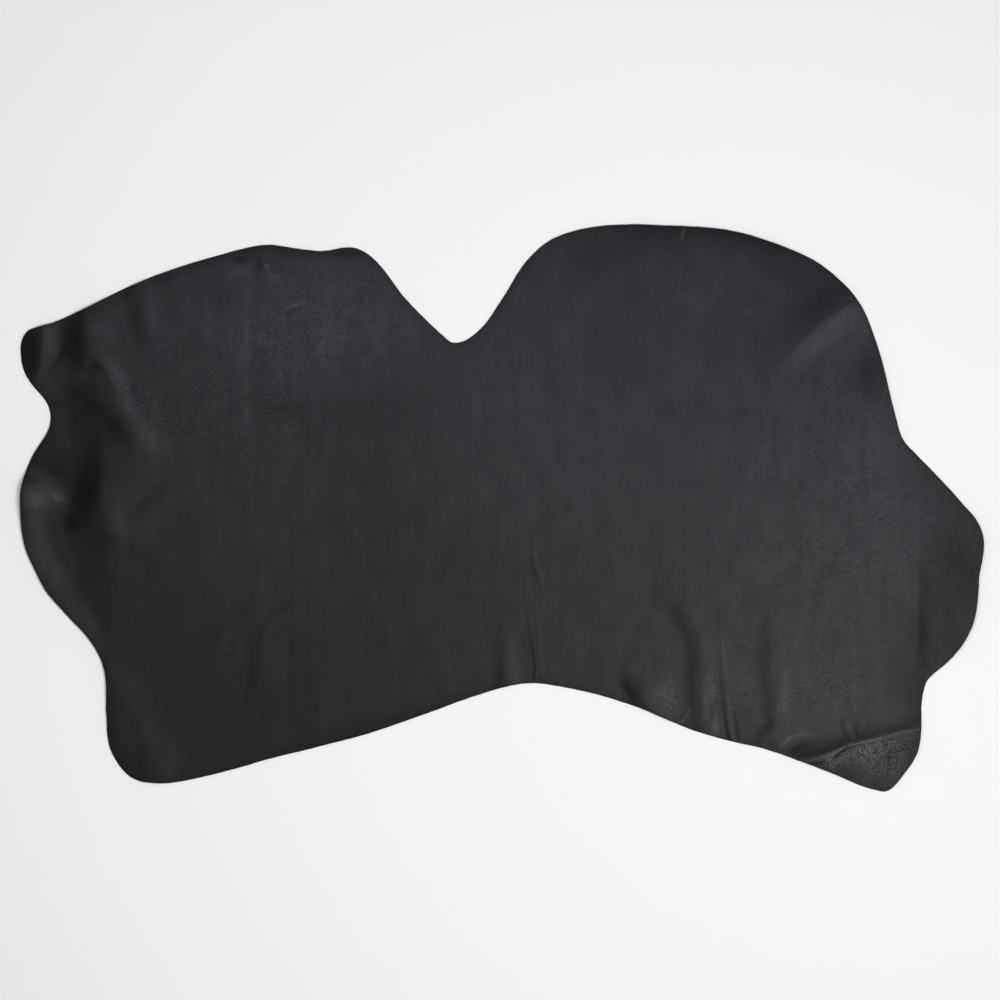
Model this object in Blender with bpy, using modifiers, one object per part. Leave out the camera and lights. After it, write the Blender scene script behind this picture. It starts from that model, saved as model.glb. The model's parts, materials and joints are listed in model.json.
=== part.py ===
"""Leather hide: one small whole hide, dyed black, spread out grain side up on a flat surface.

Metres, +Z up. +X runs from the neck end to the tail end, +Y towards the flank notch, and the
origin lies on the surface below the middle of the hide's box. The hide is one piece: its middle
lies flat, and the edges, the neck and the belly rise off the surface in low folds.
"""
from collections import namedtuple

import bmesh
import bpy
import numpy as np
from mathutils import Vector
from mathutils.geometry import delaunay_2d_cdt

MM = 0.001

# ---- driving sizes -------------------------------------------------------------------------
HIDE_LENGTH = 1.400          # neck end to tail end
LEATHER_THICKNESS = 0.0014
EDGE_SPACING = 0.018         # between neighbouring points of the cut edge
COARSE_SPACING = 0.048       # of the net of points where the hide lies flat
NET_LEVELS = 2               # the net halves its spacing this many times towards the folds
STEPS_A_FOLD = 2.6           # points across one side of a fold
EDGE_CLEARANCE = 0.45        # of the net's spacing, kept free along the cut edge
CURVE_STEPS = 12             # straight steps between two points that a curve runs through
WELD = 0.000001              # points closer together than this are one point
INSIDE_ONLY = 1              # the triangulation keeps what lies within the cut edge

LEATHER_COLOUR = (0.018, 0.019, 0.021, 1.0)
LEATHER_ROUGHNESS = 0.48

# ---- the cut edge --------------------------------------------------------------------------
# Walked with the leather on the left hand, in millimetres along X and Y. A row is one stretch of
# the animal, and one smooth closed curve runs through the points of all rows.
Stretch = namedtuple("Stretch", "name points")
CUT_EDGE = (
    Stretch("rump, upper side", (
        (610, -303), (611, -276), (619, -250), (645, -227), (668, -201), (685, -168),
        (692, -128), (694, -95), (700, -66), (700, -42), (690, -17), (674, 2), (633, 47),
        (600, 81), (583, 101), (568, 152), (546, 237), (519, 300), (466, 353), (386, 389),
        (320, 406), (244, 411), (164, 412), (107, 404), (67, 388), (34, 357))),
    Stretch("flank notch", (
        (4, 310), (-28, 264), (-52, 245), (-68, 240), (-92, 257), (-142, 307), (-177, 353),
        (-200, 373))),
    Stretch("shoulder, upper side", (
        (-220, 380), (-260, 374), (-300, 378), (-342, 383), (-390, 374), (-480, 347),
        (-545, 321), (-600, 294), (-648, 272))),
    Stretch("neck end", (
        (-690, 257), (-699, 240), (-695, 200), (-683, 180), (-661, 152), (-656, 131),
        (-661, 111), (-684, 73), (-698, 33), (-700, 0), (-694, -54), (-677, -94),
        (-660, -124), (-637, -150), (-602, -188))),
    Stretch("foreleg corner", (
        (-587, -211), (-577, -242), (-575, -300), (-569, -350), (-539, -391), (-492, -400))),
    Stretch("belly", (
        (-386, -378), (-345, -366), (-252, -343), (-190, -326), (-126, -304), (-4, -262),
        (41, -254), (110, -264), (194, -288), (274, -321), (330, -338), (386, -351),
        (467, -380))),
    Stretch("hind leg corner", ((537, -408), (562, -411), (581, -391), (605, -353))),
)

# ---- the folds -----------------------------------------------------------------------------
# A fold is a ridge along a smooth path. Each knot of the path gives X, Y and how high the hide
# is lifted there, and left and right are how far the ridge reaches to either side of someone who
# walks along the path, all in millimetres. sharp runs from 0, a round crest, to 1, a pinched one.
Fold = namedtuple("Fold", "name knots left right sharp")
FOLDS = (
    Fold("neck swell", ((-556, 335, 0), (-550, 250, 4), (-545, 150, 8), (-541, 60, 8.5),
                        (-541, -20, 8), (-541, -95, 6.5), (-540, -170, 4.5), (-532, -251, 2),
                        (-520, -340, 0)), 360, 126, 0.0),
    Fold("neck ridge", ((-606, 236, 0), (-586, 212, 1.8), (-564, 180, 2.8), (-540, 146, 3),
                        (-520, 112, 2.8), (-508, 84, 1.8), (-500, 52, 0)), 32, 64, 0.3),
    Fold("neck wall, upper", ((-586, 200, 0), (-586, 160, 2.8), (-583, 106, 5), (-580, 60, 6.6),
                              (-582, 14, 6.6), (-590, -24, 4.5), (-600, -60, 0)), 104, 48, 0.1),
    Fold("neck wall, lower", ((-580, 56, 0), (-582, 20, 1.8), (-580, -20, 2.4), (-574, -60, 2),
                              (-564, -100, 1.2), (-552, -140, 0)), 40, 56, 0.0),
    Fold("neck shelf", ((-634, 150, 0), (-634, 118, 2), (-634, 84, 3.6), (-636, 56, 2.6),
                        (-640, 34, 0)), 60, 76, 0.0),
    Fold("neck edge fold", ((-722, 64, 0), (-722, 50, 4), (-722, 35, 10.5), (-722, 8, 11),
                            (-722, -14, 6), (-722, -40, 1.5), (-722, -60, 0)), 96, 40, 0.0),
    Fold("shoulder rim", ((-716, 10, 0), (-702, -50, 3.6), (-668, -113, 4), (-630, -178, 3.2),
                          (-586, -246, 2.2), (-542, -324, 2), (-508, -382, 2)), 48, 60, 0.1),
    Fold("neck corner, outer", ((-667, 290, 3.4), (-668, 236, 3.2), (-674, 197, 2), (-680, 156, 0)),
         26, 34, 0.3),
    Fold("neck corner, inner", ((-604, 305, 3.4), (-604, 258, 3.4), (-600, 226, 2.4), (-606, 194, 0)),
         50, 34, 0.1),
    Fold("upper shoulder, first", ((-532, 335, 1.8), (-522, 290, 1.8), (-516, 256, 1.2),
                                   (-508, 226, 0)), 34, 24, 0.1),
    Fold("upper shoulder, second", ((-482, 353, 1.0), (-470, 302, 1.0), (-458, 251, 0)),
         40, 36, 0.0),
    Fold("shoulder diagonal", ((-543, -26, 0), (-516, 2, 0.6), (-484, 34, 0.6), (-452, 64, 0)),
         13, 60, 0.2),
    Fold("foreleg diagonal", ((-489, -245, 0), (-417, -193, 0.9), (-351, -155, 0.9),
                              (-286, -120, 0)), 30, 58, 0.2),
    Fold("rump swell", ((40, 352, 0), (150, 362, 2.5), (274, 368, 4), (390, 360, 4),
                        (490, 342, 0)), 75, 220, 0.0),
    Fold("rump ridge", ((376, 170, 0), (404, 204, 1.6), (424, 229, 3), (443, 249, 4),
                        (464, 267, 4.2), (490, 285, 4), (522, 306, 3.6), (566, 340, 3.4)),
         70, 36, 0.35),
    Fold("rump ridge, lower", ((463, 94, 0), (530, 143, 2.4), (587, 184, 3.8), (620, 206, 4)),
         70, 110, 0.1),
    Fold("tail rim", ((735, 90, 0), (735, 20, 4.5), (735, -60, 7), (735, -140, 7),
                      (735, -210, 5), (735, -280, 0)), 100, 128, 0.0),
    Fold("belly ripple, first", ((6, -136, 0), (6, -193, 0.7), (7, -280, 1.2)), 26, 24, 0.1),
    Fold("belly ripple, second", ((176, -200, 0), (188, -232, 1.2), (206, -270, 2.4),
                                  (224, -320, 2.4)), 44, 30, 0.2),
    Fold("belly ripple, third", ((214, -96, 0), (238, -118, 0.7), (266, -148, 1.5),
                                 (286, -184, 2.2), (296, -222, 2.4), (298, -258, 1.8),
                                 (294, -300, 1.2), (292, -340, 1)), 40, 28, 0.3),
    Fold("belly ripple, fourth", ((392, -110, 0), (397, -164, 0.6), (400, -222, 1),
                                  (402, -280, 1.2), (398, -330, 1), (394, -389, 1)),
         44, 26, 0.1),
    Fold("hind leg crease", ((430, -372, 3), (462, -361, 3.6), (500, -348, 4), (540, -338, 4),
                             (580, -328, 3.6), (630, -318, 3.2)), 30, 92, 0.6),
)


def smooth_curve(points, closed):
    """A Catmull-Rom curve through the points; any third column levels off at open ends."""
    knots = np.array(points, dtype=float)
    if closed:
        knots = np.vstack((knots[-1], knots, knots[:2]))
    else:
        first, last = 2 * knots[0] - knots[1], 2 * knots[-1] - knots[-2]
        first[2:], last[2:] = knots[1, 2:], knots[-2, 2:]
        knots = np.vstack((first, knots, last))
    curve = []
    for before, start, end, after in zip(knots, knots[1:], knots[2:], knots[3:]):
        # Steps in the square root of the distance keep the curve from looping at short spans.
        spans = [np.hypot(*(b - a)[:2]) ** 0.5
                 for a, b in ((before, start), (start, end), (end, after))]
        leave = spans[1] * ((start - before) / spans[0] - (end - before) / (spans[0] + spans[1])
                            + (end - start) / spans[1])
        arrive = spans[1] * ((end - start) / spans[1] - (after - start) / (spans[1] + spans[2])
                             + (after - end) / spans[2])
        for step in range(CURVE_STEPS):
            t = step / CURVE_STEPS
            curve.append((2 * t**3 - 3 * t**2 + 1) * start + (t**3 - 2 * t**2 + t) * leave
                         + (3 * t**2 - 2 * t**3) * end + (t**3 - t**2) * arrive)
    if not closed:
        curve.append(knots[-2])
    return np.array(curve)


def evenly_spaced(loop, spacing):
    """Points a fixed distance apart along a closed loop."""
    ring = np.vstack((loop, loop[:1]))
    lengths = np.hypot(*np.diff(ring, axis=0).T)
    along = np.concatenate(([0.0], np.cumsum(lengths)))
    count = round(along[-1] / spacing)
    marks = np.arange(count) * along[-1] / count
    return np.column_stack([np.interp(marks, along, ring[:, axis]) for axis in (0, 1)])


def cut_edge():
    """The outline in metres, centred on its own box and brought to the hide's length."""
    points = [point for stretch in CUT_EDGE for point in stretch.points]
    loop = evenly_spaced(smooth_curve(points, closed=True) * MM, EDGE_SPACING)
    low, high = loop.min(axis=0), loop.max(axis=0)
    return (loop - (low + high) / 2) * (HIDE_LENGTH / (high[0] - low[0]))


def nearest_on_fold(fold, places):
    """For each place: its distance to the fold's path, the lift there, and the fold's reach."""
    path = smooth_curve(fold.knots, closed=False) * MM
    distance = np.full(len(places), np.inf)
    lift = np.zeros(len(places))
    reach = np.ones(len(places))
    for start, end in zip(path, path[1:]):
        run = (end - start)[:2]
        length = np.hypot(*run)
        away = places - start[:2]
        share = np.clip(away @ run / length**2, 0, 1)
        offset = away - share[:, None] * run
        gap = np.hypot(*offset.T)
        # 1 on the left of the path, -1 on the right, and between the two past an end.
        side = (run[0] * offset[:, 1] - run[1] * offset[:, 0]) / (np.maximum(gap, WELD) * length)
        closer = gap < distance
        distance[closer] = gap[closer]
        lift[closer] = (start[2] + (end[2] - start[2]) * share)[closer]
        reach[closer] = (fold.left * (1 + side) / 2 + fold.right * (1 - side) / 2)[closer] * MM
    return distance, lift, reach


def lift_of_hide(places):
    """How high the underside lies above the surface at each place."""
    total = np.zeros(len(places))
    for fold in FOLDS:
        distance, lift, reach = nearest_on_fold(fold, places)
        across = np.clip(distance / reach, 0, 1)
        rounded = 1 - 3 * across**2 + 2 * across**3
        pinched = (1 - across) ** 2
        total += np.maximum(lift, 0) * ((1 - fold.sharp) * rounded + fold.sharp * pinched)
    return total


def wanted_spacing(places):
    """How far apart the net's points may lie: close within the folds, wide on the flat."""
    spacing = np.full(len(places), COARSE_SPACING)
    for fold in FOLDS:
        distance, _, reach = nearest_on_fold(fold, places)
        inside = distance < reach
        spacing[inside] = np.minimum(spacing[inside], reach[inside] / STEPS_A_FOLD)
    return spacing


def distance_to_loop(places, loop):
    """The distance from each place to the nearest side of a closed loop."""
    nearest = np.full(len(places), np.inf)
    for start, end in zip(loop, np.roll(loop, -1, axis=0)):
        run = end - start
        share = np.clip((places - start) @ run / (run @ run), 0, 1)
        nearest = np.minimum(nearest, np.hypot(*(places - start - share[:, None] * run).T))
    return nearest


def net_of_points(edge):
    """Points of a triangular net inside the edge, closer together where the folds are."""
    finest = COARSE_SPACING / 2**NET_LEVELS
    row_height = finest * 3**0.5 / 2
    low, high = edge.min(axis=0), edge.max(axis=0)
    row_count = int((high[1] - low[1]) / row_height) + 1
    column_count = int((high[0] - low[0]) / finest) + 1
    rows, columns = (index.ravel() for index in np.indices((row_count, column_count)))
    # Each row starts half a step further on, so a row is taken back by half its number.
    columns = columns - rows // 2
    places = low + np.column_stack((finest * (columns + rows / 2), row_height * rows))
    spacing = wanted_spacing(places)
    kept = np.zeros(len(places), dtype=bool)
    for level in range(NET_LEVELS + 1):
        stride = 2**level
        on_level = (rows % stride == 0) & (columns % stride == 0)
        needed = (spacing < 2 * stride * finest) | (level == NET_LEVELS)
        kept |= on_level & needed
    places, spacing = places[kept], spacing[kept]
    margin = EDGE_CLEARANCE * np.clip(spacing, EDGE_SPACING, COARSE_SPACING)
    return places[distance_to_loop(places, edge) > margin]


def underside(edge):
    """The hide's underside as an open triangle mesh on its folds, facing up."""
    net = net_of_points(edge)
    flat = [Vector(place) for place in np.vstack((edge, net))]
    found, _, faces, *_ = delaunay_2d_cdt(flat, [], [list(range(len(edge)))], INSIDE_ONLY, WELD)
    places = np.array([tuple(place) for place in found])
    heights = lift_of_hide(places)
    mesh = bpy.data.meshes.new("hide")
    mesh.from_pydata(np.column_stack((places, heights)).tolist(), [], faces)
    shaper = bmesh.new()
    shaper.from_mesh(mesh)
    outside = [point for point in shaper.verts if not point.link_faces]
    bmesh.ops.delete(shaper, geom=outside, context="VERTS")
    bmesh.ops.recalc_face_normals(shaper, faces=shaper.faces)
    shaper.faces.ensure_lookup_table()
    if shaper.faces[0].normal.z < 0:
        bmesh.ops.reverse_faces(shaper, faces=shaper.faces)
    shaper.to_mesh(mesh)
    shaper.free()
    return mesh


def black_leather():
    material = bpy.data.materials.new("black_leather")
    material.use_nodes = True
    shader = material.node_tree.nodes["Principled BSDF"]
    shader.inputs["Base Color"].default_value = LEATHER_COLOUR
    shader.inputs["Roughness"].default_value = LEATHER_ROUGHNESS
    shader.inputs["Metallic"].default_value = 0.0
    return material


def build_hide():
    """Thicken the folded sheet upwards, so that the underside keeps its place."""
    collection = bpy.data.collections.new("leather_hide")
    bpy.context.scene.collection.children.link(collection)
    hide = bpy.data.objects.new("hide", underside(cut_edge()))
    collection.objects.link(hide)
    hide.data.materials.append(black_leather())
    hide.data.shade_smooth()
    thickness = hide.modifiers.new("leather thickness", "SOLIDIFY")
    thickness.thickness = LEATHER_THICKNESS
    thickness.offset = 1.0
    thickness.use_even_offset = True
    return hide


for leftover in list(bpy.data.objects):
    bpy.data.objects.remove(leftover)
build_hide()
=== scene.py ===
"""The looks of a leather hide: one small whole skin, dyed black, laid out grain side up.

Laid out as a Blender add-on and run as a script. Metres, +Z up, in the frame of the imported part:
+X runs from the neck end to the tail end and +Y towards the flank notch. The hide is one closed
sheet with a grain side, a cut edge and a flesh side. It follows the folds of its solid, and adds
the creases of storage, the slack places near the edges and the pebbled grain.
"""
import json
import math
from collections import namedtuple

import bmesh
import bpy
import numpy as np
from bpy.props import FloatProperty, FloatVectorProperty, IntProperty, PointerProperty
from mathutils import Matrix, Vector
from mathutils.geometry import delaunay_2d_cdt

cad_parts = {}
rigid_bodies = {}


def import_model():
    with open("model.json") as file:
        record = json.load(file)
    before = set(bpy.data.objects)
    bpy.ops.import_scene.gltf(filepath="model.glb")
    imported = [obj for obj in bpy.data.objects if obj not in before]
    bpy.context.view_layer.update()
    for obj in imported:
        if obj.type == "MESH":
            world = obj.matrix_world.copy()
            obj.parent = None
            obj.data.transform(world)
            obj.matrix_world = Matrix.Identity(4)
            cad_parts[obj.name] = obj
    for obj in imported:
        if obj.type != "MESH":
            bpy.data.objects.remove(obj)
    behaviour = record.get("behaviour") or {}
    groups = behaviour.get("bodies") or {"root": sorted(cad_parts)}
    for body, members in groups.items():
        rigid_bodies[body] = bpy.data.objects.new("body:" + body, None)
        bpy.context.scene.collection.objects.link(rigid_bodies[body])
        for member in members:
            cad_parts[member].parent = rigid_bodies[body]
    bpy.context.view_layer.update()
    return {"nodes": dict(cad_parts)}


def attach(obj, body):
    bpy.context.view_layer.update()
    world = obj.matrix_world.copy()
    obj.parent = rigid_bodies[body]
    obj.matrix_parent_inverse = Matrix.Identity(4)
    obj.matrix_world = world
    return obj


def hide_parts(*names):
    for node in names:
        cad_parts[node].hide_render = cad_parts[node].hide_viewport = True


bl_info = {
    "name": "Leather hide",
    "version": (1, 0, 0),
    "blender": (4, 5, 0),
    "location": "3D View > Sidebar > Leather hide",
    "description": "Builds a dyed leather hide with its folds, creases and grain, and its stage",
    "category": "Object",
}

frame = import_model()

MM = 0.001

# ---- how finely the sheet is built ---------------------------------------------------------
FINEST_STEP = 0.0018         # between points of the grain side's net along a crease
NET_LEVELS = 2               # the net's spacing doubles this many times on the flat
FLESH_STEP = 0.010           # between points of the flesh side's net
EDGE_STEP = 0.0030           # between points along the cut edge
EDGE_BELT = 0.012            # this close to the cut edge the net is the middle one
CREASE_BELT = 0.002          # added to a narrow line's reach before the net widens again
CREST_BELT = 0.010           # to either side of a pinched crest, or at most of a narrow line
PINCHED = 0.25               # a fold this sharp or sharper has a crest
NARROW_LINE = 6              # millimetres; a line with a shorter reach needs the finest net
SMALL_PATCH = 20             # millimetres; a patch that reaches less across needs the middle net
EDGE_CLEARANCE = 0.55        # share of the spacing that is kept free along the cut edge
CURVE_STEPS = 12             # straight steps between two knots of a fold's path
OUTLINE_STEPS = 10           # straight steps between two points of the frame's cut edge
WELD = 0.000001              # points closer together than this are one point
INSIDE_ONLY = 1              # the triangulation keeps what lies within the loop
WALL_TILT = 0.5              # a face is the frame's cut edge if its normal has less Z than this

# ---- the cut edge --------------------------------------------------------------------------
# Rows of the cut edge from the grain side to the flesh side: how far a row lies inside the
# outline in millimetres, and its height as a share of the leather's thickness.
EdgeRow = namedtuple("EdgeRow", "inset height")
CUT_EDGE_ROWS = (
    EdgeRow(0.60, 1.00),
    EdgeRow(0.22, 0.95),
    EdgeRow(0.03, 0.78),
    EdgeRow(0.06, 0.50),
    EdgeRow(0.00, 0.22),
    EdgeRow(0.20, 0.00),
)
KNIFE_WAVER = 0.0003         # how far the cut wanders off a clean line
KNIFE_WAVES = (19, 43, 97, 211)

# ---- the folds -----------------------------------------------------------------------------
# A fold is a ridge along a smooth path. Each knot of the path gives X, Y and how high the hide
# is lifted there, and left and right are how far the ridge reaches to either side of someone who
# walks along the path, all in millimetres. sharp runs from 0, a round crest, to 1, a pinched one.
Fold = namedtuple("Fold", "name knots left right sharp", defaults=(0,))
FOLDS = (
    Fold("neck swell", ((-556, 335, 0), (-550, 250, 4), (-545, 150, 8), (-541, 60, 8.5),
        (-541, -20, 8), (-541, -95, 6.5), (-540, -170, 4.5), (-532, -251, 2), (-520, -340, 0)),
        360, 126),
    Fold("neck ridge", ((-606, 236, 0), (-586, 212, 1.8), (-564, 180, 2.8), (-540, 146, 3),
        (-520, 112, 2.8), (-508, 84, 1.8), (-500, 52, 0)), 32, 64, 0.3),
    Fold("neck wall, upper", ((-586, 200, 0), (-586, 160, 2.8), (-583, 106, 5), (-580, 60, 6.6),
        (-582, 14, 6.6), (-590, -24, 4.5), (-600, -60, 0)), 104, 48, 0.1),
    Fold("neck wall, lower", ((-580, 56, 0), (-582, 20, 1.8), (-580, -20, 2.4), (-574, -60, 2),
        (-564, -100, 1.2), (-552, -140, 0)), 40, 56),
    Fold("neck shelf", ((-634, 150, 0), (-634, 118, 2), (-634, 84, 3.6), (-636, 56, 2.6),
        (-640, 34, 0)), 60, 76),
    Fold("neck edge fold", ((-722, 64, 0), (-722, 50, 4), (-722, 35, 10.5), (-722, 8, 11),
        (-722, -14, 6), (-722, -40, 1.5), (-722, -60, 0)), 96, 40),
    Fold("shoulder rim", ((-716, 10, 0), (-702, -50, 3.6), (-668, -113, 4), (-630, -178, 3.2),
        (-586, -246, 2.2), (-542, -324, 2), (-508, -382, 2)), 48, 60, 0.1),
    Fold("neck corner, outer", ((-667, 290, 3.4), (-668, 236, 3.2), (-674, 197, 2),
        (-680, 156, 0)), 26, 34, 0.3),
    Fold("neck corner, inner", ((-604, 305, 3.4), (-604, 258, 3.4), (-600, 226, 2.4),
        (-606, 194, 0)), 50, 34, 0.1),
    Fold("upper shoulder, first", ((-532, 335, 1.8), (-522, 290, 1.8), (-516, 256, 1.2),
        (-508, 226, 0)), 34, 24, 0.1),
    Fold("upper shoulder, second", ((-482, 353, 1), (-470, 302, 1), (-458, 251, 0)), 40, 36),
    Fold("shoulder diagonal", ((-543, -26, 0), (-516, 2, 0.6), (-484, 34, 0.6), (-452, 64, 0)), 13,
        60, 0.2),
    Fold("foreleg diagonal", ((-489, -245, 0), (-417, -193, 0.9), (-351, -155, 0.9),
        (-286, -120, 0)), 30, 58, 0.2),
    Fold("rump swell", ((40, 352, 0), (150, 362, 2.5), (274, 368, 4), (390, 360, 4),
        (490, 342, 0)), 75, 220),
    Fold("rump ridge", ((376, 170, 0), (404, 204, 1.6), (424, 229, 3), (443, 249, 4),
        (464, 267, 4.2), (490, 285, 4), (522, 306, 3.6), (566, 340, 3.4)), 70, 36, 0.35),
    Fold("rump ridge, lower", ((463, 94, 0), (530, 143, 2.4), (587, 184, 3.8), (620, 206, 4)), 70,
        110, 0.1),
    Fold("tail rim", ((735, 90, 0), (735, 20, 4.5), (735, -60, 7), (735, -140, 7), (735, -210, 5),
        (735, -280, 0)), 100, 128),
    Fold("belly ripple, first", ((6, -136, 0), (6, -193, 0.7), (7, -280, 1.2)), 26, 24, 0.1),
    Fold("belly ripple, second", ((176, -200, 0), (188, -232, 1.2), (206, -270, 2.4),
        (224, -320, 2.4)), 44, 30, 0.2),
    Fold("belly ripple, third", ((214, -96, 0), (238, -118, 0.7), (266, -148, 1.5),
        (286, -184, 2.2), (296, -222, 2.4), (298, -258, 1.8), (294, -300, 1.2), (292, -340, 1)),
        40, 28, 0.3),
    Fold("belly ripple, fourth", ((392, -110, 0), (397, -164, 0.6), (400, -222, 1),
        (402, -280, 1.2), (398, -330, 1), (394, -389, 1)), 44, 26, 0.1),
    Fold("hind leg crease", ((430, -372, 3), (462, -361, 3.6), (500, -348, 4), (540, -338, 4),
        (580, -328, 3.6), (630, -318, 3.2)), 30, 92, 0.6),
)

# ---- the creases ---------------------------------------------------------------------------
# The same columns for the shallow marks that storage and handling leave on the grain side only.
# A lift below zero is a trough.
CREASES = (
    Fold("storage crease at the shoulder", ((-371, 372, 0), (-371, 320, 0.08), (-372, 225, 0.10),
        (-373, 130, 0.09), (-373, 82, 0)), 4, 9, 0.4),
    Fold("storage crease at the foreleg", ((-303, 11, 0), (-303, -60, 0.05), (-303, -200, 0.07),
        (-303, -313, 0.07)), 3, 8, 0.4),
    Fold("shoulder band", ((-350, 21, 0), (-350, -60, 0.10), (-350, -190, 0.13), (-350, -280, 0.1),
        (-350, -330, 0)), 50, 20),
    Fold("storage crease at the flank", ((-41, 243, 0), (-41, 190, 0.06), (-43, 80, 0.06),
        (-44, -44, 0)), 4, 6, 0.3),
    Fold("middle crease", ((44, 2, 0), (46, -60, 0.08), (50, -150, 0.14), (56, -248, 0.18)), 4, 4,
        0.4),
    Fold("belly crease", ((305, -62, 0), (309, -116, -0.10), (313, -160, -0.14),
        (318, -215, -0.18), (321, -270, -0.26), (328, -335, -0.32)), 5, 4, 0.4),
    Fold("belly crease, second", ((322, -250, 0), (327, -300, 0.2), (336, -350, 0.3)), 4, 4, 0.5),
    Fold("rump crease, faint", ((406, 120, 0), (406, 0, 0.05), (406, -110, 0)), 4, 6, 0.2),
    Fold("rump crease, upper", ((476, 243, 0), (476, 140, 0.06), (476, 30, 0)), 4, 6, 0.2),
    Fold("rump crease, lower", ((533, 171, 0), (533, 100, 0.25), (533, 40, 0.2), (533, -72, 0)),
        30, 16),
    Fold("tail hinge", ((612, 11, 0), (614, -60, -0.25), (615, -150, -0.32), (616, -226, -0.15)),
        16, 11),
)


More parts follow.
